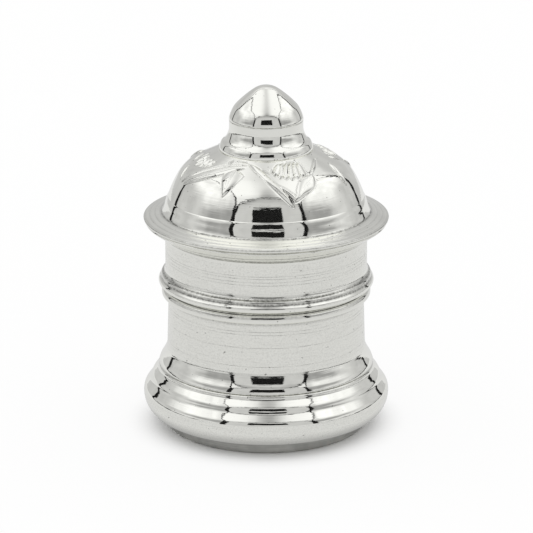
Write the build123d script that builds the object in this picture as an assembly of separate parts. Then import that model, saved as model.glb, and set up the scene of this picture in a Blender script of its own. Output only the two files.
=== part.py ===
from build123d import *
import os
from math import acos, cos, degrees, radians, sin

# Kumkum box: a round box of spun sheet silver on a moulded foot, with a domed push-on lid.
# Lengths are millimetres and angles are degrees. The origin is the middle of the underside.
# A tilt is the angle above the horizon at which the outside of a sheet faces.
upright = 0
face_up = 90
face_down = -90

# Sheet and fits
sheet = 0.28
lid_clearance = 0.03
seat_gap = 0.02
hem_gap = 0.02

# Base plate, a shallow pan that stands below the foot
base_radius = 9.1
base_stand = 1.26
base_corner_inside = 0.07
base_tuck = 0.75

# Foot: a rolled lip, a round belly, two soft slopes with a cove between them, and a ledge
lip_inside = 0.12
belly_inside = 1.79
belly_under_tilt = -48
belly_over_tilt = 8
shoulder_inside = 0.72
lower_slope_tilt = 38
lower_slope = 0.53
foot_cove = 1.1
foot_cove_tilt = 19
torus_inside = 1.0
upper_slope_tilt = 40
upper_slope = 0.45
ledge_cove = 0.45
ledge_side_tilt = 10
ledge_inside = 0.02
ledge = 0.45
ledge_tuck = 0.24

# Drum: a flare that stands on the ledge, a slightly tapered wall, and a collar for the lid
flare_edge_inside = 0.02
flare_edge_tilt = 12
flare_inside = 1.32
flare_tilt = 32
flare_slope = 0.16
flare_cove = 4.0
flare_cove_tilt = 20
flare_throat = 1.6
drum_tilt = 1.8
drum_wall = 4.42
neck_inside = 0.12
neck_hollow = 0.4
neck_step = 0.06
neck_margin = 0.08
collar = 4.4

# Stop ring, soldered round the drum where the lid comes to rest
ring_width = 0.59
ring_height = 0.76
ring_upper_round = 0.3
ring_lower_round = 0.25

# Lid skirt: a plain lip, a swaged bead of two rolls, the wall, and an eave under the brim
lid_radius = 8.96
lid_lip = 0.03
bead_throat = 0.15
bead_under_tilt = -70
bead_under = 0.3
lower_roll_inside = 0.07
lower_roll_tilt = 38
lower_roll_slope = 0.15
roll_groove = 0.2
roll_groove_tilt = 8
upper_roll_rise = 0.1
upper_roll_inside = 0.04
upper_roll_tilt = 50
bead_cove = 0.6
lid_wall = 2.63
eave_hollow = 0.45
eave_tilt = -54
eave_inset = 0.15

# Dome: a sloping brim, a cove, the side, the shoulder and a flat crown
brim_overhang = 1.91
brim_tilt = 74
brim_slope = 1.58
brim_cove = 0.45
side_cove = 7.2
side_cove_tilt = 26.5
side_tilt = 16.5
side_inside = 8.3
shoulder_tilt = 30
dome_inside = 3.12
crown_slope_tilt = 64
crown_inside = 0.07
crown_margin = 0.03

# Finial neck: a round foot, a step, a cove that eases out, and a plain cylinder
neck_radius = 3.26
neck_foot_inside = 1.02
neck_foot_tilt = 30
step_inside = 0.06
step_tilt = 59
neck_cove = 0.9
neck_cove_tilt = 31
neck_throat = 1.95
neck_wall = 0.57

# Finial bud: a plain edge, a side, a round shoulder, and flanks that close on a blunt tip
bud_overhang = 0.02
bud_edge = 0.04
bud_edge_inside = 0.5
bud_edge_tilt = 12
bud_side_inside = 2.6
bud_side_tilt = 25.5
bud_shoulder_inside = 1.7
flank_tilt = 43
flank_inside = 9.72
tip_tilt = 55


def facing(tilt):
    """The way that a sheet of this tilt faces, in the plane of radius and height."""
    return Vector(1, 0, 0).rotate(Axis.Y, -tilt)


def rising(tilt):
    """The way up along a sheet of this tilt."""
    return facing(tilt + 90)


class SpunSheet:
    """The outside of a spun sheet, drawn from its lower edge upwards in the XZ plane."""

    def __init__(self, radius, height, tilt=upright):
        self.end = Vector(radius, 0, height)
        self.tilt = tilt
        self.stretches = []

    def run(self, length):
        """A straight stretch."""
        start = self.end
        self.end = start + rising(self.tilt) * length
        self.stretches.append([(start, self.tilt), (self.end, self.tilt)])
        return self

    def run_to_radius(self, radius):
        return self.run((radius - self.end.X) / rising(self.tilt).X)

    def run_to_height(self, height):
        return self.run((height - self.end.Z) / rising(self.tilt).Z)

    def swell(self, inside, tilt):
        """A bend outwards over a former, whose radius the inside of the sheet takes."""
        return self._bend(inside + sheet, tilt)

    def hollow(self, radius, tilt):
        """A bend inwards, whose radius the outside of the sheet takes."""
        return self._bend(-radius, tilt)

    def round_off(self, radius, tilt):
        """A bend outwards on a solid piece, whose outside takes the radius."""
        return self._bend(radius, tilt)

    def _bend(self, reach, tilt):
        start = self.end
        middle_tilt = (self.tilt + tilt) / 2
        centre = start - facing(self.tilt) * reach
        middle = centre + facing(middle_tilt) * reach
        self.end = centre + facing(tilt) * reach
        self.stretches.append([(start, self.tilt), (middle, middle_tilt), (self.end, tilt)])
        self.tilt = tilt
        return self

    def edges(self, depth=0.0):
        """The line's edges, moved into the sheet by a depth."""
        found = []
        for stretch in self.stretches:
            points = [point - facing(tilt) * depth for point, tilt in stretch]
            make = Edge.make_line if len(points) == 2 else Edge.make_three_point_arc
            found.append(make(*points))
        return found

    def spin(self):
        """The sheet with its thickness, turned round the axis."""
        outer = self.edges()
        inner = self.edges(sheet)
        lower = Edge.make_line(outer[0] @ 0, inner[0] @ 0)
        upper = Edge.make_line(outer[-1] @ 1, inner[-1] @ 1)
        return revolve(Face(Wire(outer + inner + [lower, upper])), Axis.Z)

    def turn(self):
        """A solid ring between the line and the straight back from its end to its start."""
        outer = self.edges()
        back = Edge.make_line(outer[-1] @ 1, outer[0] @ 0)
        return revolve(Face(Wire(outer + [back])), Axis.Z)


def start_for(steps, tilt, end_radius):
    """The radius at which a line with these steps has to start, to end at a given radius."""
    return end_radius - steps(SpunSheet(0, 0, tilt)).end.X


# Radii that follow from the lid
collar_radius = lid_radius - sheet - lid_clearance
drum_radius = collar_radius + neck_step
brim_radius = lid_radius + brim_overhang


def base_plate():
    """A shallow pan whose flat underside is what the box stands on."""
    corner = base_corner_inside + sheet
    pan = SpunSheet(0, 0, face_down).run_to_radius(base_radius - corner)
    return pan.swell(base_corner_inside, upright).run_to_height(base_stand + base_tuck)


def drum_below_ring(line):
    """The drum from its flared edge on the ledge up to the underside of the stop ring."""
    line.swell(flare_edge_inside, flare_edge_tilt).swell(flare_inside, flare_tilt)
    line.run(flare_slope).hollow(flare_cove, flare_cove_tilt)
    return line.hollow(flare_throat, drum_tilt).run(drum_wall)


flare_radius = start_for(drum_below_ring, upright, drum_radius)


def mouldings(line):
    """The foot's outside, from the lip up to the edge of the ledge."""
    line.swell(lip_inside, belly_under_tilt).swell(belly_inside, belly_over_tilt)
    line.swell(shoulder_inside, lower_slope_tilt).run(lower_slope)
    line.hollow(foot_cove, foot_cove_tilt)
    line.swell(torus_inside, upper_slope_tilt).run(upper_slope)
    return line.hollow(ledge_cove, ledge_side_tilt).swell(ledge_inside, face_up)


def foot_moulding():
    """The spun foot, from its lip round the base plate to the ledge under the drum."""
    lip_radius = start_for(mouldings, face_down, flare_radius - ledge_tuck)
    lip = SpunSheet(base_radius, base_stand, face_down).run_to_radius(lip_radius)
    return mouldings(lip).run(ledge)


foot_top = foot_moulding().end.Z
ring_bottom = drum_below_ring(SpunSheet(flare_radius, foot_top)).end.Z
ring_top = ring_bottom + ring_height


def body_drum():
    """The drum: flare, wall, a drawn-in neck behind the stop ring, and the lid's collar."""
    neck_bends = neck_inside + sheet + neck_hollow
    neck_tilt = degrees(acos(1 - neck_step / neck_bends))
    neck_rise = neck_bends * sin(radians(neck_tilt))
    line = drum_below_ring(SpunSheet(flare_radius, foot_top)).swell(neck_inside, upright)
    line.run_to_height(ring_top - neck_rise - neck_margin)
    line.swell(neck_inside, neck_tilt).hollow(neck_hollow, upright)
    return line.run(neck_margin + collar)


def stop_ring():
    """A ring of wire with a flat face, soft above and crisp below."""
    line = SpunSheet(drum_radius, ring_bottom, face_down).run(ring_width - ring_lower_round)
    line.round_off(ring_lower_round, upright)
    line.run_to_height(ring_top - ring_upper_round)
    return line.round_off(ring_upper_round, face_up).run_to_radius(drum_radius)


def lid_skirt():
    """The lid's tube: a lip on the stop ring, two rolls, the wall, and an eave inside the rim."""
    line = SpunSheet(lid_radius, ring_top + seat_gap).run(lid_lip)
    line.hollow(bead_throat, bead_under_tilt).run(bead_under)
    line.swell(lower_roll_inside, lower_roll_tilt).run(lower_roll_slope)
    line.hollow(roll_groove, roll_groove_tilt).run(upper_roll_rise)
    line.swell(upper_roll_inside, upper_roll_tilt)
    line.run_to_radius(lid_radius + bead_cove * (1 - cos(radians(upper_roll_tilt))))
    line.hollow(bead_cove, upright).run(lid_wall)
    return line.hollow(eave_hollow, eave_tilt).run_to_radius(brim_radius - eave_inset)


def brim_lip():
    """The height of the brim's outer edge, with the brim lying on the eave's upper corner."""
    eave = lid_skirt()
    corner = eave.end - facing(eave.tilt) * sheet
    up = facing(brim_tilt)
    return corner.Z + ((corner.X - brim_radius) * up.X + sheet + hem_gap) / up.Z


def neck_steps(line):
    """The finial's neck, from its foot on the crown up to its plain cylinder."""
    line.swell(neck_foot_inside, neck_foot_tilt).swell(step_inside, step_tilt)
    return line.hollow(neck_cove, neck_cove_tilt).hollow(neck_throat, upright)


neck_foot_radius = start_for(neck_steps, upright, neck_radius)


def lid_dome():
    """The dome: brim, cove, side, shoulder, and a flat crown under the finial."""
    line = SpunSheet(brim_radius, brim_lip(), brim_tilt).run(brim_slope)
    line.hollow(brim_cove, side_cove_tilt).hollow(side_cove, side_tilt)
    line.swell(side_inside, shoulder_tilt).swell(dome_inside, crown_slope_tilt)
    crown_edge = (crown_inside + sheet) * cos(radians(crown_slope_tilt))
    line.run_to_radius(neck_foot_radius + crown_margin + crown_edge)
    return line.swell(crown_inside, face_up).run_to_radius(0)


def finial_neck():
    """The finial's lower piece, which stands on the crown."""
    crown = lid_dome().end.Z
    return neck_steps(SpunSheet(neck_foot_radius, crown)).run(neck_wall)


def finial_bud():
    """The finial's bud, which closes the neck."""
    line = SpunSheet(neck_radius + bud_overhang, finial_neck().end.Z).run(bud_edge)
    line.swell(bud_edge_inside, bud_edge_tilt).swell(bud_side_inside, bud_side_tilt)
    line.swell(bud_shoulder_inside, flank_tilt).swell(flank_inside, tip_tilt)
    return line.swell(line.end.X / cos(radians(tip_tilt)) - sheet, face_up)


pieces = {
    "base_plate": base_plate().spin(),
    "foot_moulding": foot_moulding().spin(),
    "body_drum": body_drum().spin(),
    "stop_ring": stop_ring().turn(),
    "lid_skirt": lid_skirt().spin(),
    "lid_dome": lid_dome().spin(),
    "finial_neck": finial_neck().spin(),
    "finial_bud": finial_bud().spin(),
}

os.makedirs("parts", exist_ok=True)
for name, piece in pieces.items():
    export_step(piece, f"parts/{name}.step")
    print(f"{name}: {piece.volume:.2f} mm3")

whole = Compound(children=list(pieces.values())).bounding_box()
print(f"width {whole.size.X:.3f} mm, height {whole.size.Z:.3f} mm")
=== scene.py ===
# %% [markdown]
# # A spun silver kumkum box
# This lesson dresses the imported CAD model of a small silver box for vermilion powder. The box is
# 31 mm high, so every size of it is written in millimetres and becomes metres where a mesh is made.
# The studio round it is written in metres. The frame gives the place of each node, and nothing in it
# is moved.

# %% The frame
from collections import namedtuple

import bpy
import numpy as np
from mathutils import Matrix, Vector


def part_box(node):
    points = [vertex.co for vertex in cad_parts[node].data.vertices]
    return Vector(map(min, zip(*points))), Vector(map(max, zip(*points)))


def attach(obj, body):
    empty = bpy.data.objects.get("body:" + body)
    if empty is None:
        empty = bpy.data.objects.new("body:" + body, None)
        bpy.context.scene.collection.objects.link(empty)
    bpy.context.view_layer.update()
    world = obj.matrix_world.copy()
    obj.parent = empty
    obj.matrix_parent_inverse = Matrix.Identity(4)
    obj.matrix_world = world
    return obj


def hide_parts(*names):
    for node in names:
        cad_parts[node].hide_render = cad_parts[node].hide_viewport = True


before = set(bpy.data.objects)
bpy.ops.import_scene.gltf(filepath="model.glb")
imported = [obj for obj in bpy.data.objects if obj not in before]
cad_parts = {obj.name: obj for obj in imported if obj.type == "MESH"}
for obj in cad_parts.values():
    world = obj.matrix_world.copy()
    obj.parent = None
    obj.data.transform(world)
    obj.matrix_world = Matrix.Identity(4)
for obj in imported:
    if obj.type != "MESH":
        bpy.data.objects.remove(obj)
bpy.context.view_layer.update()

MM = 0.001
print("nodes:", ", ".join(sorted(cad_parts)))

# %% [markdown]
# ## Shader sums
# A finish is mostly arithmetic on a few patterns. The nodes can be placed one by one, but then the sum
# is hard to read. Here a `Signal` wraps a socket, so that `1 - mask` adds the Math node by itself, and a
# `Finish` has one method that makes every other node.

# %% Signal and Finish


class Signal:
    """A value on its way through a shader: Python's operators add Math nodes to it."""

    def __init__(self, finish, socket):
        self.finish = finish
        self.socket = socket

    def out(self, name):
        """Another output of the same node."""
        return Signal(self.finish, self.socket.node.outputs[name])

    def math(self, operation, *values):
        return self.finish.node("ShaderNodeMath", {"operation": operation}, dict(enumerate(values)))

    def __add__(self, other):
        return self.math("ADD", self, other)

    def __radd__(self, other):
        return self.math("ADD", other, self)

    def __sub__(self, other):
        return self.math("SUBTRACT", self, other)

    def __rsub__(self, other):
        return self.math("SUBTRACT", other, self)

    def __mul__(self, other):
        return self.math("MULTIPLY", self, other)

    def __rmul__(self, other):
        return self.math("MULTIPLY", other, self)

    def __pow__(self, other):
        return self.math("POWER", self, other)

    def exponent(self):
        """The number e, raised to this value."""
        return self.math("EXPONENT", self)

    def at_most(self, limit):
        return self.math("MINIMUM", self, limit)

    def step(self, low, high):
        """A soft step from 0 at low to 1 at high."""
        sockets = {"Value": self, "From Min": low, "From Max": high}
        return self.finish.node("ShaderNodeMapRange", {"interpolation_type": "SMOOTHSTEP"}, sockets)


class Finish:
    """A material, and the one way to add a node to it."""

    def __init__(self, name):
        self.material = bpy.data.materials.new(name)
        self.material.use_nodes = True
        self.tree = self.material.node_tree
        self.tree.nodes.clear()

    def node(self, kind, settings=None, sockets=None, output=0):
        """A node of a kind: its settings come first, then the values or links of its sockets."""
        made = self.tree.nodes.new(kind)
        for name, value in (settings or {}).items():
            setattr(made, name, value)
        for name, value in (sockets or {}).items():
            if isinstance(value, Signal):
                self.tree.links.new(value.socket, made.inputs[name])
            else:
                made.inputs[name].default_value = value
        return Signal(self, made.outputs[output]) if made.outputs else None

    def place(self):
        """Where a point is on its object, in metres."""
        return self.node("ShaderNodeTexCoord", output="Object")

    def parts(self, vector):
        """The X, Y and Z of a vector."""
        first = self.node("ShaderNodeSeparateXYZ", None, {"Vector": vector})
        return first, first.out("Y"), first.out("Z")

    def blend(self, share, first, second):
        """A colour between two colours."""
        mix_factor, mix_first, mix_second, mix_result = 0, 6, 7, 2
        sockets = {mix_factor: share, mix_first: first, mix_second: second}
        return self.node("ShaderNodeMix", {"data_type": "RGBA"}, sockets, mix_result)

    def noise(self, vector, scale, detail=2.0):
        sockets = {"Vector": vector, "Scale": scale, "Detail": detail}
        return self.node("ShaderNodeTexNoise", None, sockets)

    def surface(self, shader):
        self.node("ShaderNodeOutputMaterial", None, {"Surface": shader})
        return self.material


print("shader helpers ready")

# %% [markdown]
# ## Camera
# The camera stands where the outline and the ellipses of the rings say that it stood: about 26 cm from
# the box and 17.6 degrees above it. A long lens keeps the rings flat. No shift is needed, because the
# camera simply looks at a point a little below the middle of the box.

# %% The camera
camera_place = Vector((0, -0.24827, 0.09406))
camera_aim = Vector((0.00003, 0, 0.01435))
camera_data = bpy.data.cameras.new("camera")
camera_data.sensor_width = 36
camera_data.lens = 197.8
camera_data.clip_start = 0.01
camera = bpy.data.objects.new("camera", camera_data)
camera.location = camera_place
camera.rotation_euler = (camera_aim - camera_place).to_track_quat("-Z", "Y").to_euler()
bpy.context.scene.collection.objects.link(camera)
bpy.context.scene.camera = camera
bpy.context.scene.view_settings.view_transform = "Standard"
print("camera is", round((camera_aim - camera_place).length, 4), "m from its aim")

# %% [markdown]
# ## Light tent
# Polished silver has hardly any colour of its own: it shows the room. Small silver is photographed in a
# white cloth tent, and its reflections tell how the tent was made: four cloth walls with rounded tops,
# each bound with black tape, a paler roof, and a dark opening in the front wall for the lens. The same
# tent is built here from panels that only reflections see, turned a little as it stood.

# %% Tent measures
tent_half_width = 0.243
tent_front, tent_back = -0.26, 0.21
tent_middle, half_depth = (tent_front + tent_back) / 2, (tent_back - tent_front) / 2
front_spring, front_top = 0.235, 0.3
side_spring, side_top = 0.2, 0.392
tape_width, front_tape_width, top_tape_width, hem_height = 0.017, 0.027, 0.015, 0.012
tape_gap = 0.002
tent_turn = np.radians(3)


def link_stage(name, vertices, faces, material, turn=0.0):
    """A mesh of the studio that neither the lens nor matt surfaces see."""
    mesh = bpy.data.meshes.new(name)
    mesh.from_pydata(vertices, [], faces)
    mesh.materials.append(material)
    made = bpy.data.objects.new(name, mesh)
    made.rotation_euler.z = turn
    made.visible_camera = False
    made.visible_diffuse = False
    made.visible_shadow = False
    bpy.context.scene.collection.objects.link(made)
    return made


print("tent is", 2 * tent_half_width, "m wide and", round(tent_back - tent_front, 3), "m deep")

# %% [markdown]
# Each wall has its own glow. The side walls have a lamp behind their upper part, so they are bright above
# and grey below, darkest towards the front. Lamps outside real cloth would do the same with many more
# samples. Cloth that glows by itself says directly how bright each part of the mirrored tent is.

# %% Wall cloth
crease_scale, crease_detail, crease_mean = 14, 4, 0.5
front_glow, front_shade, front_ramp, front_creases = 0.6, 0.2, (0.215, 0.28), 0.35
back_glow, back_gain, back_ramp, back_creases = 0.56, 0.34, (0.15, 0.33), 0.5
grey_glow, grey_gain, grey_ramp = 0.36, 0.2, (-0.09, 0.0)
lamp_glow, lamp_gain, lamp_ramp = 0.72, 0.28, (-0.22, -0.14)
lamp_lean, lamp_round, lamp_edge = 0.5, 0.03, (0.05, 0.15)
low_glow, low_heights, low_depths = 0.75, (0.045, 0.1), (-0.04, 0.08)
side_creases = 0.8


def glowing(cloth, radiance):
    return cloth.surface(cloth.node("ShaderNodeEmission", None, {"Color": radiance, "Strength": 1.0}))


def creased(cloth, amount):
    """Creases of hanging cloth, as a factor round 1."""
    return 1 + amount * (cloth.noise(cloth.place(), crease_scale, crease_detail) - crease_mean)


def front_cloth():
    """Cloth with shade under its rounded top."""
    cloth = Finish("front_cloth")
    _, _, height = cloth.parts(cloth.place())
    glow = front_glow - front_shade * height.step(*front_ramp)
    return glowing(cloth, glow * creased(cloth, front_creases))


def back_cloth():
    """Cloth that is brighter above, near the roof."""
    cloth = Finish("back_cloth")
    _, _, height = cloth.parts(cloth.place())
    glow = back_glow + back_gain * height.step(*back_ramp)
    return glowing(cloth, glow * creased(cloth, back_creases))


def side_cloth():
    """Cloth with a lamp behind its upper part, and with light from the floor low at its front."""
    cloth = Finish("side_cloth")
    _, depth, height = cloth.parts(cloth.place())
    below = grey_glow + grey_gain * depth.step(*grey_ramp)
    above = lamp_glow + lamp_gain * depth.step(*lamp_ramp)
    lamp = (height - lamp_lean * (depth * depth + lamp_round ** 2) ** 0.5).step(*lamp_edge)
    walled = below + (above - below) * lamp
    low = (1 - height.step(*low_heights)) * (1 - depth.step(*low_depths))
    return glowing(cloth, (walled + (low_glow - walled) * low) * creased(cloth, side_creases))


print("cloth for the front, back and side walls is ready")

# %% [markdown]
# The roof is the brightest part, with a grey fold along its middle that is deeper towards the front. The
# tape is plain black webbing. It could be one flat black, but a weave that is only just there keeps the
# mirrored bars from looking drawn.

# %% Roof cloth and tape
roof_glow, fold_width, fold_shade, fold_gain, fold_ramp = 1.04, 0.07, 0.29, 0.25, (0.03, 0.24)
roof_front_shade, roof_front_ramp = 0.2, (0.2, 0.27)
weave_scale, tape_roughness = 900, 0.9
tape_black, tape_worn = (0.006, 0.006, 0.006, 1), (0.02, 0.02, 0.02, 1)


def roof_cloth():
    """Bright cloth with a fold, and with shade at its front edge."""
    cloth = Finish("roof_cloth")
    aside, depth, _ = cloth.parts(cloth.place())
    across, forward = aside * (1 / fold_width), -1 * depth
    fold = (-1 * across * across).exponent()
    folded = roof_glow - fold * (fold_shade + fold_gain * forward.step(*fold_ramp))
    return glowing(cloth, folded - roof_front_shade * forward.step(*roof_front_ramp))


def black_tape():
    """Black webbing."""
    cloth = Finish("black_tape")
    colour = cloth.blend(cloth.noise(cloth.place(), weave_scale), tape_black, tape_worn)
    sockets = {"Base Color": colour, "Roughness": tape_roughness, "Specular IOR Level": 0.0}
    return cloth.surface(cloth.node("ShaderNodeBsdfPrincipled", None, sockets))


tape = black_tape()
print("the tape has", len(tape.node_tree.nodes), "nodes")

# %% [markdown]
# A wall is one flat face with an arch for its upper edge, and its tape is a ribbon between that arch and a
# smaller one, just inside the tent. Curves with a bevel could make the tape, but flat ribbons are all that
# the box mirrors. The side walls have squarer shoulders at the back, and a strip of tape along the floor.

# %% Tent walls
arch_points, round_arch, square_arch = 61, 2.0, 4.5


def arch(half, spring, top, squareness):
    """The edge of a wall with a rounded top, as pairs of a place across and a height."""
    angles = np.linspace(np.pi, 0, arch_points)
    powers = np.where(angles > np.pi / 2, 1.0, 2 / squareness)
    across = np.sign(np.cos(angles)) * abs(np.cos(angles)) ** powers * half
    heights = spring + (top - spring) * abs(np.sin(angles)) ** powers
    return [(-half, 0.0), *zip(across, heights), (half, 0.0)]


def wall(name, half, spring, top, place, cloth, squareness=round_arch, hem=0.0, edge_tape=tape_width):
    """A cloth wall and its tape. `place` takes a place across, a height and a depth into the tent."""
    outer = arch(half, spring, top, squareness)
    inner = arch(half - edge_tape, spring, top - top_tape_width, squareness)
    count = len(outer)
    link_stage(name, [place(u, v, 0) for u, v in outer], [tuple(range(count))], cloth, tent_turn)
    floor_strip = [(-half, 0), (half, 0), (half, hem), (-half, hem)]
    ribbon = [place(u, v, tape_gap) for u, v in outer + inner + floor_strip]
    strips = [(i, i + 1, count + i + 1, count + i) for i in range(count - 1)]
    strips.append(tuple(range(2 * count, 2 * count + len(floor_strip))))
    link_stage(name + "_tape", ribbon, strips, tape, tent_turn)


def front_place(u, v, depth):
    return u, tent_front + depth, v


def back_place(u, v, depth):
    return u, tent_back - depth, v


def left_place(u, v, depth):
    return depth - tent_half_width, tent_middle + u, v


def right_place(u, v, depth):
    return tent_half_width - depth, tent_middle + u, v


front_shape = tent_half_width, front_spring, front_top
back_shape = tent_half_width, side_spring, side_top
side_shape = half_depth, side_spring, side_top
side_finish = side_cloth()
wall("tent_front", *front_shape, front_place, front_cloth(), edge_tape=front_tape_width)
wall("tent_back", *back_shape, back_place, back_cloth())
wall("tent_left", *side_shape, left_place, side_finish, square_arch, hem_height)
wall("tent_right", *side_shape, right_place, side_finish, square_arch, hem_height)
print("four walls are up, the highest", side_top, "m high")

# %% [markdown]
# The roof is a strip of cloth over the walls, bent along one line, and the opening for the lens is a dark
# slot in the front wall. Both are as simple as what the silver shows of them.

# %% Roof and opening
quad = [(0, 1, 2, 3)]
roof_half_width = 0.26
roof_line = [(-0.275, 0.2), (-0.262, 0.29), (-0.2, 0.37), (-0.1, 0.43), (0.05, 0.45), (0.21, 0.385)]
roof_places = [(side * roof_half_width, y, z) for y, z in roof_line for side in (-1, 1)]
roof_strips = [(i, i + 1, i + 3, i + 2) for i in range(0, 2 * len(roof_line) - 2, 2)]
link_stage("tent_roof", roof_places, roof_strips, roof_cloth(), tent_turn)
opening_left, opening_right = -0.092, 0.08
opening_bottom, opening_top = 0.1, 0.2
opening_corners = [
    (opening_left, opening_bottom), (opening_right, opening_bottom),
    (opening_right, opening_top), (opening_left, opening_top),
]
opening = [front_place(u, v, tape_gap) for u, v in opening_corners]
link_stage("lens_opening", opening, quad, tape, tent_turn)
print("opening is", round(opening_right - opening_left, 3), "m wide")

# %% [markdown]
# ## Floor
# The box stands on white board under white light. The board is a matt surface that keeps the box's
# shadow, and part of it glows for the lens and for reflections, so that it reads as white without more
# light on the silver. Close to the box the glow stops and the shadow is whole. Reflections see a glowing
# grey card on it, which gives the walls their tone, and whose glow drops near the box as a painted shadow.

# %% White board and grey card
floor_reach, floor_drop, card_height = 1.5, 0.00002, 0.0002
shadow_start, shadow_end, floor_glow = 0.0088, 0.013, 0.85
fibre_scale, fibre_detail = 400, 4
board_white, board_fibre = (0.97, 0.97, 0.965, 1), (0.99, 0.99, 0.985, 1)
card_shade, card_front_glow, card_back_glow, card_ramp = 0.5, 0.71, 0.78, (-0.02, 0.1)


def out_of_shadow(finish):
    """0 close to the box, and 1 where its shadow has ended."""
    x, y, _ = finish.parts(finish.place())
    return ((x * x + y * y) ** 0.5).step(shadow_start, shadow_end)


def white_board():
    """Matt board that glows where the lens or a reflection sees it, outside the shadow."""
    board = Finish("white_board")
    colour = board.blend(board.noise(board.place(), fibre_scale, fibre_detail), board_white, board_fibre)
    matt = board.node("ShaderNodeBsdfDiffuse", None, {"Color": colour})
    white = board.node("ShaderNodeEmission", None, {"Strength": 1.0})
    path = board.node("ShaderNodeLightPath", output="Is Camera Ray")
    seen = path + path.out("Is Glossy Ray") + path.out("Is Transmission Ray")
    share = seen.at_most(1.0) * out_of_shadow(board) * floor_glow
    return board.surface(board.node("ShaderNodeMixShader", None, {0: share, 1: matt, 2: white}))


def grey_card():
    """Card that glows for reflections, with a painted shadow near the box, and a little paler behind it."""
    card = Finish("grey_card")
    _, depth, _ = card.parts(card.place())
    grey = card_front_glow + (card_back_glow - card_front_glow) * depth.step(*card_ramp)
    # Painted shadow: the card's glow is lower close to the box.
    return glowing(card, grey * (card_shade + (1 - card_shade) * out_of_shadow(card)))


def rectangle(left, right, front, back, height):
    return [(left, front, height), (right, front, height), (right, back, height), (left, back, height)]


floor_places = rectangle(-floor_reach, floor_reach, -floor_reach, floor_reach, -floor_drop)
floor = link_stage("floor", floor_places, quad, white_board())
floor.visible_camera = True
floor.visible_diffuse = True
floor.visible_shadow = True
card_places = rectangle(-tent_half_width, tent_half_width, tent_front, tent_back, card_height)
link_stage("grey_card", card_places, quad, grey_card())
world = bpy.data.worlds.new("world")
world.use_nodes = True
world.node_tree.nodes["Background"].inputs["Color"].default_value = (1, 1, 1, 1)
world.node_tree.nodes["Background"].inputs["Strength"].default_value = 1
bpy.context.scene.world = world
print("floor is", 2 * floor_reach, "m wide")

# %% [markdown]
# ## Marks on metal
# Most marks on the box come from a tool that met it while it turned, or from wear. A picture of scratches
# could be wrapped round each piece, but patterns in space need no unwrapping and have no seam. Noise that
# is drawn out round the axis gives the marks of the lathe. Each mesh also carries two numbers per point:
# `satin` says where the plain walls are, and the other says where the silver is darker, from tarnish and
# from painted shade.

# %% Marks on metal


def silver_place(finish):
    """Where a point is on the box, in millimetres: the place, x, y, the radius and the height."""
    sockets = {"Vector": finish.place(), "Scale": 1 / MM}
    place = finish.node("ShaderNodeVectorMath", {"operation": "SCALE"}, sockets)
    x, y, height = finish.parts(place)
    return place, x, y, (x * x + y * y) ** 0.5, height


def lathe_pattern(finish, x, y, rise, around, across, detail):
    """Noise drawn out round the axis: `around` and `across` are changes per millimetre."""
    sockets = {"X": x * around, "Y": y * around, "Z": rise * across}
    return finish.noise(finish.node("ShaderNodeCombineXYZ", None, sockets), 1.0, detail)


def painted(finish, name):
    """A number that the mesh carries on its points."""
    return finish.node("ShaderNodeAttribute", {"attribute_name": name}, None, "Fac")


def bare_metal(finish, colour, roughness, microns):
    """Metal with a fine relief, given in microns."""
    sockets = {"Strength": 1.0, "Distance": MM * MM, "Height": microns}
    bump = finish.node("ShaderNodeBump", None, sockets)
    sockets = {"Base Color": colour, "Metallic": 1.0, "Roughness": roughness, "Normal": bump}
    return finish.surface(finish.node("ShaderNodeBsdfPrincipled", None, sockets))


print("a micron is", MM * MM, "m")

# %% [markdown]
# ## Polished silver
# The dome, the beads and the finial are buffed until they mirror the tent, but the sheet isn't perfect: it
# has shallow dents from the mallet, faint streaks of the buff and a haze of fine scratches. The plain walls
# keep the lines of the lathe and a fine grain, with short dark dashes where the tool skipped, so they look
# grey and satin. The corners are darker, with tarnish and old polish and with painted shade where pieces
# meet. One finish for both keeps the change from satin to mirror soft, as a buff leaves it.

# %% Polished silver
silver_white, silver_worn = (0.93, 0.931, 0.885, 1), (0.8, 0.8, 0.76, 1)
grain_grey, dash_grey = (0.68, 0.68, 0.645, 1), (0.3, 0.3, 0.28, 1)
pit_black, darkening_black = (0.12, 0.118, 0.11, 1), (0.1, 0.099, 0.091, 1)
worn_share, grain_share, dash_share, satin_dash_share, pit_share = 0.3, 0.42, 0.07, 0.07, 0.7
even_darkening, patchy_darkening = 0.5, 0.75
mirror_rough, haze_rough, satin_rough, line_rough, darkened_rough = 0.02, 0.03, 0.1, 0.14, 0.25
dent_microns, ridge_microns, streak_microns = 20.0, 4.0, 4.5
scratch_microns, line_microns, satin_line_microns = 0.1, 0.12, 0.8
slope_share = 0.6


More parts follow.
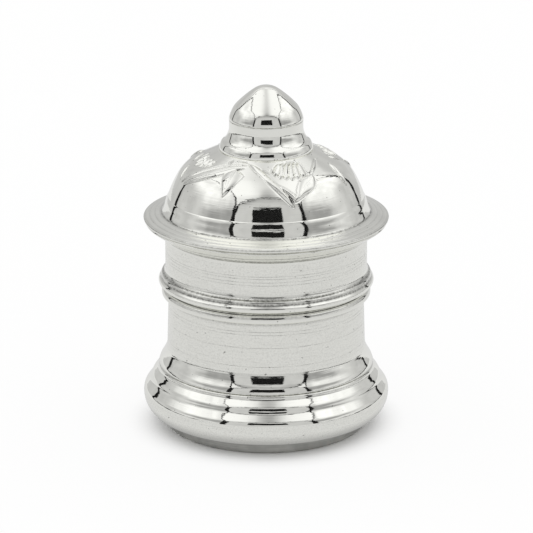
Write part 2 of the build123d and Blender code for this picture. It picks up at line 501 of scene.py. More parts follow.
def polished_silver():
    silver = Finish("polished_silver")
    place, x, y, radius, height = silver_place(silver)
    rise = height - radius * slope_share
    satin, tarnish_and_shade = painted(silver, "satin"), painted(silver, "tarnish_and_shade")
    mirror = 1 - satin
    lines = lathe_pattern(silver, x, y, rise, around=0.12, across=18, detail=3)
    ridges = lathe_pattern(silver, x, y, rise, around=0.12, across=1.3, detail=1)
    streaks = lathe_pattern(silver, x, y, rise, around=0.4, across=6, detail=3)
    dashes = lathe_pattern(silver, x, y, rise, around=0.45, across=14, detail=2).step(0.6, 0.72)
    pits = silver.noise(place, scale=3.2, detail=1).step(0.74, 0.8)
    dents = silver.noise(place, scale=0.5, detail=2)
    haze = silver.noise(place, scale=0.9, detail=4).step(0.45, 0.8)
    scratches = silver.noise(place, scale=14, detail=5)
    patchiness = silver.noise(place, scale=4.5, detail=5).step(0.3, 0.7)
    grain = silver.noise(place, scale=7, detail=4).step(0.4, 0.75)
    # Darker colour: tarnish in the hollows, and painted shade where pieces meet and under the foot.
    darkening = tarnish_and_shade * (even_darkening + patchy_darkening * patchiness)
    worn = silver.blend(satin * streaks.step(0.4, 0.75) * worn_share, silver_white, silver_worn)
    mottled = silver.blend(satin * grain * grain_share, worn, grain_grey)
    marked = silver.blend(dashes * (dash_share + satin * satin_dash_share), mottled, dash_grey)
    pitted = silver.blend(pits * pit_share, marked, pit_black)
    colour = silver.blend(darkening, pitted, darkening_black)
    lined = satin * (satin_rough + line_rough * lines)
    roughness = mirror_rough + haze_rough * haze + lined + darkened_rough * darkening
    waves = dent_microns * mirror * dents + ridge_microns * ridges + streak_microns * mirror * streaks
    fine_lines = (line_microns + satin * satin_line_microns) * lines
    microns = waves + scratch_microns * scratches + fine_lines
    return bare_metal(silver, colour, roughness, microns)


silver_finish = polished_silver()
print("polished silver has", len(silver_finish.node_tree.nodes), "nodes")

# %% [markdown]
# ## Dull silver
# The base plate was never polished: it keeps the grey skin of the soldering torch and the rings of a file.
# The same patterns make it, with a darker colour and a much rougher face. Its edge on the floor and its top
# under the foot are darker still, as painted shade.

# %% Dull silver
skin_pale, skin_dark = (0.52, 0.52, 0.49, 1), (0.4, 0.4, 0.38, 1)
filed_bright, base_darkening_black = (0.66, 0.66, 0.62, 1), (0.08, 0.077, 0.072, 1)
filed_share, skin_rough, blotch_rough, filed_smooth = 0.5, 0.34, 0.2, 0.1
file_microns, grain_microns = 1.6, 0.8


def dull_silver():
    silver = Finish("dull_silver")
    place, x, y, radius, height = silver_place(silver)
    file_marks = lathe_pattern(silver, x, y, height + radius, around=0.3, across=11, detail=3)
    blotches = silver.noise(place, scale=0.7, detail=4)
    grains = silver.noise(place, scale=22, detail=3)
    skin = silver.blend(blotches.step(0.3, 0.7), skin_pale, skin_dark)
    filed = silver.blend(file_marks.step(0.45, 0.75) * filed_share, skin, filed_bright)
    # Painted shade: darker along the edge on the floor and under the foot, and a little darker inside.
    colour = silver.blend(painted(silver, "tarnish_and_shade"), filed, base_darkening_black)
    roughness = skin_rough + blotch_rough * blotches - filed_smooth * file_marks
    return bare_metal(silver, colour, roughness, file_microns * file_marks + grain_microns * grains)


dull_finish = dull_silver()
print("dull silver has", len(dull_finish.node_tree.nodes), "nodes")

# %% [markdown]
# ## A lathe in code
# Every piece of the box is spun on a lathe: flat sheet is pressed over a former while it turns. So each
# piece is one line, drawn from its lower edge upwards, that is given the sheet's thickness and turned
# round the axis. The line knows its `tilt`, the angle at which the sheet faces above the horizon, and a
# bend only says how far the tilt changes and how round the bend is. A Screw modifier could do the
# turning, but here the points are made directly, so that the exact facing of the sheet becomes the mesh's
# normals and the mirror finish has no ripples.

# %% The spun line
Crevice = namedtuple("Crevice", "radius height reach depth")
crevices = []
sheet = 0.28
hair = 1e-6
run_step, bend_step, fewest_in_bend = 0.2, 4.0, 3
face_down, upright, face_up, face_in = -90, 0, 90, 180


def facing(tilt):
    """The way that a sheet of this tilt faces, as radius and height."""
    return np.array([np.cos(np.radians(tilt)), np.sin(np.radians(tilt))])


def leading(tilt):
    """The way that a line of this tilt goes on."""
    return facing(tilt + 90)


class SpunLine:
    """The outside of a spun sheet in millimetres, from its lower edge upwards."""

    def __init__(self, radius, height, tilt=upright):
        self.points = [np.array([radius, height], dtype=float)]
        self.tilts = [float(tilt)]
        self.satins = [0.0]
        self.whole = [True]
        self.step = run_step

    @property
    def radius(self):
        return self.points[-1][0]

    @property
    def height(self):
        return self.points[-1][1]

    def _add(self, point, tilt, satin):
        self.points.append(point)
        self.tilts.append(tilt)
        self.satins.append(satin)
        self.whole.append(True)

    def run(self, length, satin=0.0):
        """A straight stretch."""
        start, tilt = self.points[-1], self.tilts[-1]
        self.satins[-1] = max(satin, self.satins[-1])
        count = max(1, int(np.ceil(abs(length) / self.step)))
        for share in np.linspace(0, 1, count + 1)[1:]:
            self._add(start + leading(tilt) * length * share, tilt, satin)
        return self

    def run_to_radius(self, radius, satin=0.0):
        return self.run((radius - self.radius) / leading(self.tilts[-1])[0], satin)

    def run_to_height(self, height, satin=0.0):
        return self.run((height - self.height) / leading(self.tilts[-1])[1], satin)

    def bend(self, reach, tilt, satin=0.0):
        """A bend of the outside: reach is its radius, and below zero where it goes inwards."""
        start_tilt = self.tilts[-1]
        centre = self.points[-1] - facing(start_tilt) * reach
        length = abs(np.radians(tilt - start_tilt) * reach)
        count = int(np.ceil(max(abs(tilt - start_tilt) / bend_step, length / self.step)))
        for share in np.linspace(0, 1, max(fewest_in_bend, count) + 1)[1:]:
            turned = start_tilt + (tilt - start_tilt) * share
            self._add(centre + facing(turned) * reach, turned, satin)
        return self

    def swell(self, inside, tilt, satin=0.0):
        """A bend outwards over a former, whose radius the inside of the sheet takes."""
        return self.bend(inside + sheet, tilt, satin)

    def hollow(self, radius, tilt, satin=0.0):
        """A bend inwards."""
        return self.bend(-radius, tilt, satin)

    def mark(self, bends, satin=0.0):
        """Small bends on the outside alone, as pairs of a reach and a tilt."""
        count = len(self.whole)
        for reach, tilt in bends:
            self.bend(reach, tilt, satin)
        self.whole[count:] = [False] * (len(self.whole) - count)
        return self

    def groove(self, size, tilt, satin=0.0):
        """A fine line that the tool left."""
        start = self.tilts[-1]
        return self.mark([(size, start + tilt), (-size, start - tilt), (size, start)], satin)

    def darken(self, reach, depth):
        """Darkening round the end of the line: tarnish and old polish, and painted shade."""
        crevices.append(Crevice(self.radius, self.height, reach, depth))
        return self

    def widest(self):
        return max(point[0] for point in self.points)


print("one millimetre of run has", round(1 / run_step), "points")

# %% [markdown]
# A line has no thickness, but sheet has two faces and two edges. A Solidify modifier could add them, with
# square edges that catch no light. So the outline goes up the outside, round a small edge at the top, down
# the inside, and round the edge at the bottom. The inside leaves out marks that are only on the outside,
# and it can do with fewer points.

# %% The outline of a sheet
Outline = namedtuple("Outline", "points tilts satins inside")
inside_satin, edge_size, edge_points = 1.0, 0.08, 5


def edge_round(point, tilt, along, size):
    """The rounded end of a sheet, from its outside to its inside. `along` leads out of the sheet."""
    out, past = facing(tilt), facing(along)
    turn = 1 if np.isclose((along - tilt) % 360, 90) else -1
    found = []
    for depth, start in ((size, 0), (sheet - size, 90)):
        centre = point - past * size - out * depth
        for angle in np.linspace(start, start + 90, edge_points):
            facing_tilt = tilt + turn * angle
            found.append((centre + facing(facing_tilt) * size, facing_tilt))
    return found


def sheet_outline(line, lower=edge_size, upper=edge_size, every=1):
    """The closed outline of a spun sheet: up its outside, round its upper edge, down its inside."""
    points, tilts = np.array(line.points), np.array(line.tilts)
    gone = np.concatenate([[0], np.cumsum(np.hypot(*np.diff(points, axis=0).T))])
    on_axis_low, on_axis_high = points[0, 0] < hair, points[-1, 0] < hair
    keep = np.ones(len(points), bool)
    if not on_axis_low:
        keep &= gone > lower + hair
    if not on_axis_high:
        keep &= gone < gone[-1] - upper - hair
    kept = np.flatnonzero(keep)
    rows = [(points[i], tilts[i], line.satins[i], 0) for i in kept]
    if not on_axis_high:
        lip = edge_round(points[-1], tilts[-1], tilts[-1] + 90, upper)
        rows += [(point, tilt, line.satins[-1], 0) for point, tilt in lip]
    whole = [i for i in kept if line.whole[i]]
    thinned = [i for n, i in enumerate(whole) if n % every == 0 or i in (whole[0], whole[-1])]
    for i in reversed(thinned):
        rows.append((points[i] - facing(tilts[i]) * sheet, tilts[i] + 180, inside_satin, 1))
    if not on_axis_low:
        lip = edge_round(points[0], tilts[0], tilts[0] - 90, lower)
        rows += [(point, tilt, line.satins[0], 0) for point, tilt in reversed(lip)]
    return Outline(*(np.array(column) for column in zip(*rows)))


print("sheet is", sheet, "mm thick")

# %% [markdown]
# Turning the outline is a matter of counting: point `i` of the outline at step `j` round the axis has one
# place in a long list. A point on the axis is kept once, and closes with triangles. Where the sheet has
# no relief, the facing of the line is handed to Blender as the normals.

# %% Turning


def spoke_angles(count):
    return np.linspace(0, 2 * np.pi, count, endpoint=False)


def turned_mesh(name, outline, count, pushed=None):
    """The outline turned round the axis. `pushed` moves the points along their normals."""
    angles = spoke_angles(count)
    spokes = np.stack([np.sin(angles), -np.cos(angles)], axis=1)
    ways = np.array([facing(tilt) for tilt in outline.tilts])
    vertices, normals, owners, first = [], [], [], []
    for i, (radius, height) in enumerate(outline.points):
        first.append(len(vertices))
        if radius < hair:
            vertices.append((0, 0, height))
            normals.append((0, 0, ways[i, 1]))
            owners.append(i)
            continue
        push = 0 if pushed is None else pushed[i]
        ring_radii = radius + ways[i, 0] * push + np.zeros(count)
        ring_heights = height + ways[i, 1] * push + np.zeros(count)
        vertices.extend(np.column_stack([spokes * ring_radii[:, None], ring_heights]).tolist())
        normals.extend(np.column_stack([spokes * ways[i, 0], np.full(count, ways[i, 1])]).tolist())
        owners.extend([i] * count)
    faces = []
    total = len(outline.points)
    for i in range(total):
        low, high = first[i], first[(i + 1) % total]
        low_axis = outline.points[i, 0] < hair
        high_axis = outline.points[(i + 1) % total, 0] < hair
        for j in range(count):
            k = (j + 1) % count
            if low_axis and high_axis:
                break
            if low_axis:
                faces.append((low, high + k, high + j))
            elif high_axis:
                faces.append((low + j, low + k, high))
            else:
                faces.append((low + j, low + k, high + k, high + j))
    mesh = bpy.data.meshes.new(name)
    mesh.from_pydata((np.array(vertices) * MM).tolist(), [], faces)
    mesh.shade_smooth()
    if pushed is None:
        mesh.normals_split_custom_set_from_vertices(normals)
    return mesh, np.array(owners)


segments = 192
print("a ring has", segments, "points")

# %% [markdown]
# A finished piece is a turned mesh with its silver and its two numbers per point. It rides on a body of the
# frame and stands for one node. The darkening is given as crevices, each a radius and a height, and it
# fades away from them. The distances to the node's own box are printed, so a wrong size shows at once.

# %% Making a piece
inside_darkening = 0.22


def in_crevice(outline):
    """How dark each point of an outline is, from tarnish and painted shade."""
    kept = np.where(outline.inside == 1, inside_darkening, 0.0)
    for crevice in crevices:
        apart = np.hypot(outline.points[:, 0] - crevice.radius, outline.points[:, 1] - crevice.height)
        kept = np.maximum(kept, crevice.depth * np.exp(-(apart / crevice.reach) ** 2))
    return kept


def paint(mesh, name, values):
    attribute = mesh.attributes.new(name, "FLOAT", "POINT")
    attribute.data.foreach_set("value", np.asarray(values, dtype=np.float32))


def make_piece(name, node, body, outline, material, count=segments, pushed=None, darkening=None):
    """Turns an outline into a piece that stands for a node, and compares the two boxes."""
    mesh, owners = turned_mesh(name, outline, count, pushed)
    mesh.materials.append(material)
    paint(mesh, "satin", outline.satins[owners])
    tarnish_and_shade = in_crevice(outline)[owners]
    paint(mesh, "tarnish_and_shade", tarnish_and_shade if darkening is None else np.maximum(tarnish_and_shade, darkening))
    piece = bpy.data.objects.new(name, mesh)
    bpy.context.scene.collection.objects.link(piece)
    low, high = (np.array(corner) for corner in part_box(node))
    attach(piece, body)
    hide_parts(node)
    places = np.array([vertex.co for vertex in mesh.vertices])
    off = np.concatenate([places.min(axis=0) - low, high - places.max(axis=0)]) / MM
    print(name, len(mesh.polygons), "faces, inside its node's box by", np.round(off, 3).tolist(), "mm")
    return piece


def reach_of(node):
    """A node's outer radius, lower height and upper height in millimetres."""
    low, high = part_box(node)
    radius = min(-low.x, high.x, -low.y, high.y)
    return radius / MM, low.z / MM, high.z / MM


for node in sorted(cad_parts):
    print(node, [round(v, 3) for v in reach_of(node)])

# %% [markdown]
# ## Where the silver is darker
# Where two pieces meet the silver is darker: tarnish and old polish that a cloth can't reach, and painted
# shade under the foot, along the base plate's edge on the floor and in the gap under the lid. They could
# be painted by hand, but each joint of the box is one crevice, so the darkening follows from how the box is
# put together.

# %% Crevices
base_radius, base_bottom, base_top = reach_of("base_plate")
foot_radius, foot_bottom, _ = reach_of("foot_moulding")
flare_radius, drum_bottom, drum_top = reach_of("body_drum")
ring_radius, ring_bottom, ring_top = reach_of("stop_ring")
eave_radius, skirt_bottom, skirt_top = reach_of("lid_skirt")
brim_radius, brim_bottom, _ = reach_of("lid_dome")
stem_radius, stem_bottom, stem_top = reach_of("finial_neck")
bud_radius, bud_bottom, _ = reach_of("finial_bud")
lid_radius, drum_radius = 8.96, 8.71
crevices += [
    # Painted shade under the foot, and along the base plate's edge on the floor.
    Crevice(base_radius, foot_bottom, reach=0.3, depth=0.95),
    Crevice(base_radius, base_bottom, reach=0.12, depth=0.7),
    Crevice(flare_radius, drum_bottom, reach=0.1, depth=0.6),
    Crevice(drum_radius, ring_bottom, reach=0.2, depth=0.8),
    # Painted shadow in the gap under the lid's lip and on the ring below it.
    Crevice(lid_radius, ring_top, reach=0.1, depth=0.5),
    Crevice(ring_radius, ring_top, reach=0.3, depth=0.3),
    Crevice(eave_radius, skirt_top, reach=0.08, depth=0.45),
    Crevice(brim_radius, brim_bottom + sheet, reach=0.08, depth=0.6),
    Crevice(bud_radius, bud_bottom, reach=0.06, depth=0.4),
]
print(len(crevices), "crevices")

# %% [markdown]
# ## Base plate
# A shallow pan of sheet closes the bottom. Its rim is pushed up inside the foot and soldered there, so only
# a dull grey band shows below the foot. The line starts on the axis and turns one tight corner.

# %% Base plate
base_corner = 0.07
pan = SpunLine(0, base_bottom, face_down).run_to_radius(base_radius - base_corner - sheet)
pan.swell(base_corner, upright).run_to_height(base_top)
make_piece("base_pan", "base_plate", "box", sheet_outline(pan), dull_finish)

# %% [markdown]
# ## Foot
# The foot is the hardest spinning of the box: a rolled lip, a round belly, two slopes with a cove between
# them, and a ledge that carries the drum, all from one disc. The bends are drawn in that order, and the
# lip's radius is found from the node's widest point.

# %% Foot
lip_inside, belly_under_tilt = 0.12, -48
belly_inside, belly_over_tilt, belly_satin = 1.79, 8, 0.8
shoulder_inside, lower_slope_tilt, lower_slope = 0.72, 38, 0.53
foot_cove, foot_cove_tilt = 1.1, 19
torus_inside, upper_slope_tilt, upper_slope = 1.0, 40, 0.45
ledge_cove, ledge_side_tilt, ledge_inside, ledge = 0.45, 10, 0.02, 0.45


def foot_mouldings(line):
    line.swell(lip_inside, belly_under_tilt).swell(belly_inside, belly_over_tilt, belly_satin)
    line.swell(shoulder_inside, lower_slope_tilt).run(lower_slope)
    line.hollow(foot_cove, foot_cove_tilt)
    line.swell(torus_inside, upper_slope_tilt).run(upper_slope)
    return line.hollow(ledge_cove, ledge_side_tilt).swell(ledge_inside, face_up)


lip_radius = foot_radius - foot_mouldings(SpunLine(0, 0, face_down)).widest()
foot = SpunLine(base_radius, foot_bottom, face_down).run_to_radius(lip_radius)
foot_mouldings(foot).run(ledge)
make_piece("turned_foot", "foot_moulding", "box", sheet_outline(foot), silver_finish)

# %% [markdown]
# ## Drum and collar
# The wall of the box flares out onto the ledge, tapers a little, and is drawn in behind the stop ring.
# Above the ring it goes on as the collar that the lid slides over, which only shows when the lid is off.
# A few turned lines stand out enough to be real bends, and finer ones are left to the finish.

# %% Drum
neck_step, neck_inside, neck_hollow, neck_margin = 0.06, 0.12, 0.4, 0.08
neck_bends = neck_inside + sheet + neck_hollow
neck_tilt = np.degrees(np.arccos(1 - neck_step / neck_bends))
neck_rise = neck_bends * np.sin(np.radians(neck_tilt))
flare_edge_inside, flare_edge_tilt = 0.02, 12
flare_inside, flare_tilt, flare_slope = 1.32, 32, 0.16
flare_cove, flare_cove_tilt, flare_throat = 4.0, 20, 1.6
drum_tilt, throat_satin, wall_satin, collar_satin = 1.8, 0.6, 1.0, 0.5
drum_lines, line_size, line_tilt = (7.95, 9.65, 10.83, 11.1), 0.05, 29
drum = SpunLine(flare_radius, drum_bottom).swell(flare_edge_inside, flare_edge_tilt)
drum.swell(flare_inside, flare_tilt).run(flare_slope).hollow(flare_cove, flare_cove_tilt)
drum.hollow(flare_throat, drum_tilt, throat_satin)
for line_height in drum_lines:
    drum.run_to_height(line_height, wall_satin).groove(line_size, line_tilt, wall_satin)
drum.run_to_height(ring_bottom, wall_satin)
drum.swell(neck_inside, upright, wall_satin)
drum.run_to_height(ring_top - neck_rise - neck_margin, wall_satin)
drum.swell(neck_inside, neck_tilt).hollow(neck_hollow, upright).run_to_height(drum_top, collar_satin)
make_piece("drum_and_collar", "body_drum", "box", sheet_outline(drum), silver_finish)

# %% [markdown]
# ## Stop ring
# A ring of flattened wire is soldered round the drum, and the lid comes to rest on it. It is solid, so its
# outline closes on itself: the tilt goes once round from facing down to facing down again.

# %% Stop ring
wire_back, wire_round, wire_crown = 0.05, 0.25, 0.362
wire_shoulder, wire_shoulder_tilt, wire_slope, wire_slope_tilt = 0.3, 18, 0.8, 29
wire = SpunLine(drum_radius + wire_back, ring_bottom, face_down).run_to_radius(ring_radius - wire_round)
wire.bend(wire_round, upright).run_to_height(ring_top - wire_crown)
wire.bend(wire_shoulder, wire_shoulder_tilt).bend(wire_slope, wire_slope_tilt)
wire.bend(wire_round, face_up).run_to_radius(drum_radius + wire_back)
wire.bend(wire_back, face_in).run_to_height(ring_bottom + wire_back).bend(wire_back, face_down + 360)
wire_outline = Outline(
    np.array(wire.points[:-1]),
    np.array(wire.tilts[:-1]),
    np.array(wire.satins[:-1]),
    np.zeros(len(wire.points) - 1),
)
make_piece("stop_wire", "stop_ring", "box", wire_outline, silver_finish)

# %% [markdown]
# ## Lid tube
# The lid's tube slides over the collar. Two small rolls are swaged into it just above its lower edge, which
# stiffen the edge and give the fingers a grip, and at the top the tube opens into an eave under the brim.
# The points are close together at the rolls and the eave, so that the darkening there ends softly.

# %% Lid tube
lid_lip, bead_throat, bead_under_tilt, bead_under = 0.03, 0.15, -70, 0.3
lower_roll_inside, lower_roll_tilt, lower_roll_slope = 0.07, 38, 0.15
roll_groove, roll_groove_tilt, upper_roll_rise = 0.2, 8, 0.1
upper_roll_inside, upper_roll_tilt, bead_cove = 0.04, 50, 0.6
lid_wall, eave_hollow, eave_tilt, eave_satin = 2.63, 0.45, -54, 0.3
darkening_step, bead_darkening, groove_dark_reach, bead_dark_reach = 0.04, 0.72, 0.14, 0.16
eave_rings, eave_darkening, eave_dark_reach, ring_dark_reach = (9.35, 9.8), 0.85, 0.1, 0.08
lid_lines = (15.42, 15.69, 16.0, 16.23)
tube = SpunLine(lid_radius, skirt_bottom).run(lid_lip)
tube.step = darkening_step
tube.hollow(bead_throat, bead_under_tilt).run(bead_under)
tube.swell(lower_roll_inside, lower_roll_tilt).run(lower_roll_slope)
tube.hollow(roll_groove, roll_groove_tilt).darken(groove_dark_reach, bead_darkening).run(upper_roll_rise)
tube.swell(upper_roll_inside, upper_roll_tilt)
tube.run_to_radius(lid_radius + bead_cove * (1 - np.cos(np.radians(upper_roll_tilt))))
tube.darken(bead_dark_reach, bead_darkening).hollow(bead_cove, upright, throat_satin)
tube.step = run_step
wall_top = tube.height + lid_wall
for line_height in lid_lines:
    tube.run_to_height(line_height, wall_satin).groove(line_size, line_tilt, wall_satin)
tube.run_to_height(wall_top, wall_satin)
tube.step = darkening_step
# The eave under the brim is darker in rings.
tube.hollow(eave_hollow, eave_tilt, eave_satin).darken(eave_dark_reach, eave_darkening)
for eave_ring in eave_rings:
    tube.run_to_radius(eave_ring, eave_satin).darken(ring_dark_reach, eave_darkening)
tube.run_to_radius(eave_radius, eave_satin)
tube_outline = sheet_outline(tube, lower=lid_lip)
make_piece("lid_tube", "lid_skirt", "lid", tube_outline, silver_finish)

# %% [markdown]
# ## Dome
# The dome is spun first and chased afterwards. Its brim lies on the eave, with slight waves that the
# spinning tool left. A cove leads up to a low band with a soft upper edge, and from there the side goes
# over into the shoulder and the closed crown. The line is drawn with finer points where the leaves will be.

# %% Dome line
brim_tilt, brim_slope, brim_cove, brim_cove_tilt = 74, 1.58, 0.22, 48
brim_waves, wave_bend, brim_run, brim_satin = (-4, 3, -3, 5, -4, 2, 0), 0.8, 0.12, 0.1
wave_darkening, wave_dark_reach, cove_darkening, cove_dark_reach = 0.2, 0.05, 0.7, 0.1
side_cove, side_cove_tilt, band_hollow, band_tilt = 0.42, 27, 3.06, 15
band_inside, band_top_tilt, band_edge, band_edge_tilt = 2.336, 28, 0.5, 38
crease, side_tilt = 0.12, 19.5
side_inside, shoulder_tilt, dome_inside = 10.7, 30, 3.12
crown_tilt, crown_inside, crown_margin = 64, 0.07, 0.03
relief_step, crown_step = 0.055, 1.0
brim_lip = brim_bottom + sheet * np.sin(np.radians(brim_tilt))
dome = SpunLine(brim_radius, brim_lip, brim_tilt)
for wave in brim_waves:
    dome.run(brim_run, brim_satin)
    lean = brim_tilt + wave
    dome.bend(wave_bend if lean > dome.tilts[-1] else -wave_bend, lean, brim_satin)
    if wave < 0:
        dome.darken(wave_dark_reach, wave_darkening)
dome.run_to_radius(brim_radius - brim_slope * np.sin(np.radians(brim_tilt)), brim_satin)
dome.hollow(brim_cove, brim_cove_tilt).darken(cove_dark_reach, cove_darkening)
dome.hollow(side_cove, side_cove_tilt).hollow(band_hollow, band_tilt)
dome.swell(band_inside, band_top_tilt).mark([(band_edge, band_edge_tilt), (-crease, side_tilt)])
dome.step = relief_step
dome.swell(side_inside, shoulder_tilt).swell(dome_inside, crown_tilt)
crown_edge = (crown_inside + sheet) * np.cos(np.radians(crown_tilt))
dome.run_to_radius(stem_radius + crown_margin + crown_edge)
dome.step = crown_step
dome.swell(crown_inside, face_up).run_to_radius(0)
dome_outline = sheet_outline(dome, every=3)
print("dome has", len(dome_outline.points), "rings up to", round(dome.height, 3), "mm")

# %% [markdown]
# ## Leaves
# Sprays of leaves are pushed out from inside the dome and then outlined from outside with a blunt chisel. A
# displacement texture would blur at this size, so each leaf is a sum of plain shapes: a spine that runs
# over the dome, a swelling across it, a vein, and a groove round the edge. The azimuth is counted from the
# front, to the right, in degrees, and heights are millimetres above the floor.

# %% A leaf
Leaf = namedtuple("Leaf", "base middle tip width raised vein widest fullness")
spine_points, axis_margin, base_roundness = 48, 0.5, 0.8
groove_width, groove_depth, groove_place, vein_width = 0.05, 0.03, 0.6, 0.05
facet_power, full_half_width, least_rise = 1.8, 0.2, 0.3
outside = np.flatnonzero((dome_outline.inside == 0) & (dome_outline.points[:, 0] > axis_margin))
line_order = outside[np.argsort(dome_outline.points[outside, 1])]
line_heights = dome_outline.points[line_order, 1]
line_radii = dome_outline.points[line_order, 0]


def on_dome(azimuth, height):
    """A place on the smooth dome."""
    radius = np.interp(height, line_heights, line_radii)
    angle = np.radians(azimuth)
    return np.stack([radius * np.sin(angle), -radius * np.cos(angle), height], axis=-1)


def half_width(shape, along):
    """Half the width of a leaf at a share of its length."""
    grown = np.sin(np.pi / 2 * np.clip(along / shape.widest, 0, 1)) ** base_roundness
    ending = np.clip((along - shape.widest) / (1 - shape.widest), 0, 1)
    return 0.5 * shape.width * grown * (1 - ending ** shape.fullness)


def leaf_spine(shape, turn):
    """Places along a leaf's middle line: a curve through its base, middle and tip."""
    share = np.linspace(0, 1, spine_points)[:, None]
    base, middle, tip = (np.array(mark, dtype=float) for mark in (shape.base, shape.middle, shape.tip))
    control = 2 * middle - (base + tip) / 2
    marks = base * (1 - share) ** 2 + 2 * control * share * (1 - share) + tip * share ** 2
    return on_dome(marks[:, 0] + turn, marks[:, 1])


def press_leaf(shape, places, turn):
    """How far a leaf lifts each place, and how deep its grooves are, in millimetres."""
    spine = leaf_spine(shape, turn)
    lift, cut = np.zeros(len(places)), np.zeros(len(places))
    from_middle = np.linalg.norm(places - spine.mean(axis=0), axis=1)
    near = np.flatnonzero(from_middle < np.ptp(spine, axis=0).max() + shape.width)
    if not len(near):
        return lift, cut
    nearest = np.linalg.norm(places[near, None] - spine[None], axis=2).argmin(axis=1)
    tangents = np.gradient(spine, axis=0)
    tangents /= np.linalg.norm(tangents, axis=1)[:, None]
    offset = places[near] - spine[nearest]
    forward = (offset * tangents[nearest]).sum(axis=1)
    sideways = np.sqrt(np.maximum((offset ** 2).sum(axis=1) - forward ** 2, 0))
    length = np.linalg.norm(np.diff(spine, axis=0), axis=1).sum()
    along = nearest / (len(spine) - 1) + forward / length
    beyond = np.maximum(np.maximum(-along, along - 1), 0) * length
    half = half_width(shape, np.clip(along, 0, 1))
    edge = np.hypot(np.maximum(sideways - half, 0), beyond)
    across = np.clip(sideways / np.maximum(half, hair), 0, 1)
    body = np.where(edge == 0, 1 - across ** facet_power, 0)
    vein = shape.vein * np.exp(-(sideways / vein_width) ** 2) * np.clip(half / (2 * vein_width), 0, 1)
    lift[near] = shape.raised * body * np.clip(half / full_half_width, least_rise, 1) - vein * (body > 0)
    groove = np.exp(-((edge - groove_width * groove_place) / groove_width) ** 2)
    cut[near] = groove_depth * groove * (edge > 0)
    return lift, cut


print("a leaf's outline is cut", groove_depth, "mm deep")

# %% [markdown]
# A sprig is leaves, petals and short strokes of a punch, and each of them is one row below: where it starts
# and ends, and how broad and how high it is. They could be drawn as curves in Blender, but as rows they are
# quick to compare and to move. Below zero a stroke is sunk, not raised.

# %% The sprays
stroke_bow, petal_bow, petal_width, petal_rise = 0.05, 0.12, 0.58, 0.2


def leaf(base, middle, tip, width, raised, vein=0.0, widest=0.4, fullness=1.6):
    """A pointed leaf, widest below its middle unless it says otherwise."""
    return Leaf(base, middle, tip, width, raised, vein, widest, fullness)


def bowed(base, tip, bow):
    """The middle of a short shape, a little above the straight line."""
    return (base[0] + tip[0]) / 2, (base[1] + tip[1]) / 2 + bow


def stroke(base, tip, width=0.5, raised=0.15):
    """A short ridge from one blow of the punch."""
    return leaf(base, bowed(base, tip, stroke_bow), tip, width, raised, widest=0.5, fullness=2.0)


def petal(base, tip):
    """A petal, widest near its round end."""
    return leaf(base, bowed(base, tip, petal_bow), tip, petal_width, petal_rise, widest=0.75, fullness=2.5)


left_sprig = [
    leaf((-21, 25.0), (-52.1, 24.43), (-70.5, 22.95), width=0.26, raised=0.11),
    leaf((-21.5, 24.8), (-41.7, 24.24), (-66, 23.0), width=0.55, raised=0.15),
    leaf((-27.5, 24.62), (-27.6, 23.85), (-28.6, 22.8), 1.8, 0.16, vein=0.04, widest=0.18, fullness=1.4),
    stroke((-86.5, 24.92), (-88, 24.45), width=0.36, raised=0.06),
    stroke((-77.2, 24.9), (-79.5, 24.3)),
    stroke((-70.4, 24.8), (-75, 24.18)),
    stroke((-65, 24.86), (-67.5, 24.26)),
    stroke((-58.2, 24.84), (-61.8, 24.33)),
    stroke((-82.1, 24.02), (-75.5, 22.95), width=0.3),
    stroke((-40.5, 25.15), (-39.4, 24.87), width=0.26, raised=-0.07),
    stroke((-30.2, 25.16), (-21.5, 25.12), width=0.26, raised=-0.06),
]
right_sprig = [
    leaf((-17.6, 25.06), (3.7, 24.02), (16.9, 22.17), 0.52, 0.2, widest=0.25, fullness=5.0),
    leaf((3.7, 24.02), (14.3, 23.4), (19.2, 22.62), 0.3, 0.12, widest=0.6, fullness=3.0),
    stroke((14.3, 23.05), (16.8, 22.2), width=0.3, raised=-0.16),
    stroke((-4.5, 24.72), (2.2, 24.58), width=0.22, raised=-0.08),
    stroke((4.5, 24.78), (6.4, 24.5), width=0.2, raised=-0.08),
    petal((14.5, 25.08), (7.2, 24.42)),
    petal((18, 25.12), (11, 24.26)),
    petal((22.6, 25.12), (15.2, 24.18)),
    petal((27, 25.12), (20, 24.13)),
    petal((31, 25.1), (25.2, 24.16)),
    petal((35, 25.05), (30.8, 24.22)),
    stroke((23.5, 25.16), (31.5, 25.08), width=0.2, raised=-0.07),
    leaf((39, 24.26), (27, 23.58), (18.7, 22.55), 1.35, 0.16, vein=0.04, widest=0.35),
    stroke((60.1, 24.97), (36, 24.22), width=0.24, raised=0.09),
    leaf((69, 24.5), (64.5, 23.82), (64, 22.95), width=0.55, raised=0.16),
    stroke((83, 24.7), (92, 24.2), width=0.3),
]
spray = left_sprig + right_sprig
print("a spray has", len(spray), "leaves, petals and strokes")

# %% [markdown]
# The spray is pressed into the front of the dome and, half a turn on, into the back. Where two shapes
# overlap, the stronger one wins, as with two blows of a punch. The inside of the sheet follows the outside,
# and the grooves and sunk strokes are darker.

# %% Pressing the sprays
spray_turns, dome_segments = (0, 180), 720
relief_bottom, relief_margin, leaf_floor, full_hollow = 21.6, 0.2, 0.02, 0.1
groove_darkening, hollow_darkening = 0.35, 0.9


def press_spray(places):
    """The lift and the cut of all shapes at these places."""
    lift, cut = np.zeros(len(places)), np.zeros(len(places))
    for turn in spray_turns:
        for shape in spray:
            shape_lift, shape_cut = press_leaf(shape, places, turn)
            lift = np.where(np.abs(shape_lift) > np.abs(lift), shape_lift, lift)
            cut = np.maximum(cut, shape_cut)
    return lift, np.where(lift > leaf_floor, 0, cut)


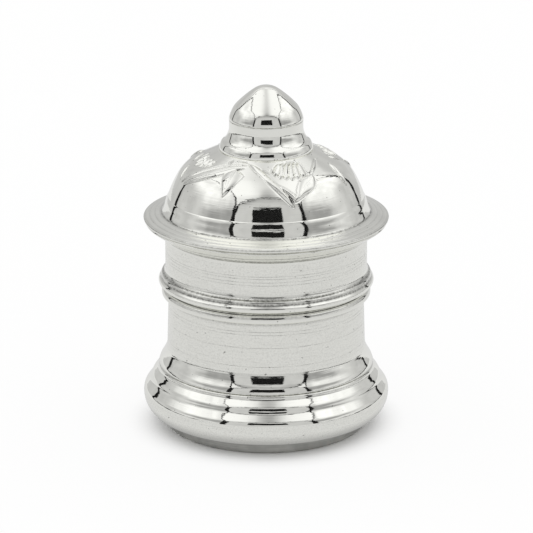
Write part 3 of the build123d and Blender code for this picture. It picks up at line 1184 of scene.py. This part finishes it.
azimuths = np.degrees(spoke_angles(dome_segments))
relief = np.zeros((len(dome_outline.points), dome_segments))
darkening = np.zeros_like(relief)
for i, (radius, height) in enumerate(dome_outline.points):
    if height < relief_bottom or radius < stem_radius + relief_margin:
        continue
    outwards = 1 if dome_outline.inside[i] == 0 else -1
    rim = height if outwards > 0 else height - sheet * facing(dome_outline.tilts[i])[1]
    lift, cut = press_spray(on_dome(azimuths, np.full(dome_segments, rim)))
    relief[i] = outwards * (lift - cut)
    grooved, hollowed = np.clip(cut / groove_depth, 0, 1), np.clip(-lift / full_hollow, 0, 1)
    # Darker colour in the grooves and in sunk strokes.
    darkening[i] = grooved * groove_darkening + hollowed * hollow_darkening
print("relief goes from", round(relief.min(), 3), "to", round(relief.max(), 3), "mm")

# %% [markdown]
# The dome is turned with many more steps than the other pieces, because its leaves are small. It is the one
# piece whose normals Blender works out, since the relief changes them, and only real corners stay sharp.

# %% The dome's mesh
sharp_angle = np.radians(60)
ring_darkening = np.concatenate([
    darkening[i] if radius > hair else darkening[i, :1]
    for i, radius in enumerate(dome_outline.points[:, 0])
])
leaf_dome = make_piece(
    "leaf_dome", "lid_dome", "lid", dome_outline, silver_finish,
    dome_segments, relief, ring_darkening,
)
leaf_dome.data.set_sharp_from_angle(angle=sharp_angle)

# %% [markdown]
# ## Finial
# The finial is two small spinnings. The lower one is a stem with a round step and a cove that ends in a
# short cylinder. Each curve is two or three bends of different roundness, as a spinner's former has them,
# because a single round bend would mirror the tent as one even band.

# %% Finial stem
stem_edge, stem_edge_inside, stem_edge_tilt = 0.11, 0.32, 18
stem_side_inside, stem_side_tilt, stem_shoulder_inside, stem_shoulder_tilt = 1.72, 28, 0.72, 30
step_inside, step_tilt, stem_lip = 0.06, 59, 0.03
stem_cove, stem_cove_tilt, stem_waist, stem_waist_tilt, stem_throat = 0.85, 29, 2.7, 19, 1.55
stem = SpunLine(stem_radius, stem_bottom).run(stem_edge).swell(stem_edge_inside, stem_edge_tilt)
stem.swell(stem_side_inside, stem_side_tilt).swell(stem_shoulder_inside, stem_shoulder_tilt)
stem.swell(step_inside, step_tilt).hollow(stem_cove, stem_cove_tilt).hollow(stem_waist, stem_waist_tilt)
stem.hollow(stem_throat, upright).run_to_height(stem_top)
stem_outline = sheet_outline(stem, lower=stem_lip)
make_piece("finial_stem", "finial_neck", "lid", stem_outline, silver_finish)

# %% [markdown]
# The bud closes the finial. It swells a little above its edge and draws in to a soft point. The line ends
# on the axis, so its last bend is as round as it has to be to get there.

# %% Finial bud
bud_edge, bud_edge_inside, bud_edge_tilt = 0.04, 0.5, 12
bud_side_inside, bud_side_tilt, bud_belly_inside, bud_belly_tilt = 1.02, 19, 3.92, 28.5
bud_shoulder_inside, flank_tilt, flank_inside, tip_tilt = 1.41, 43, 9.72, 55
bud = SpunLine(bud_radius, bud_bottom).run(bud_edge).swell(bud_edge_inside, bud_edge_tilt)
bud.swell(bud_side_inside, bud_side_tilt).swell(bud_belly_inside, bud_belly_tilt)
bud.swell(bud_shoulder_inside, flank_tilt).swell(flank_inside, tip_tilt)
bud.bend(bud.radius / np.cos(np.radians(tip_tilt)), face_up)
bud.points[-1][0] = 0
bud_outline = sheet_outline(bud, lower=bud_edge)
make_piece("finial_tip", "finial_bud", "lid", bud_outline, silver_finish)
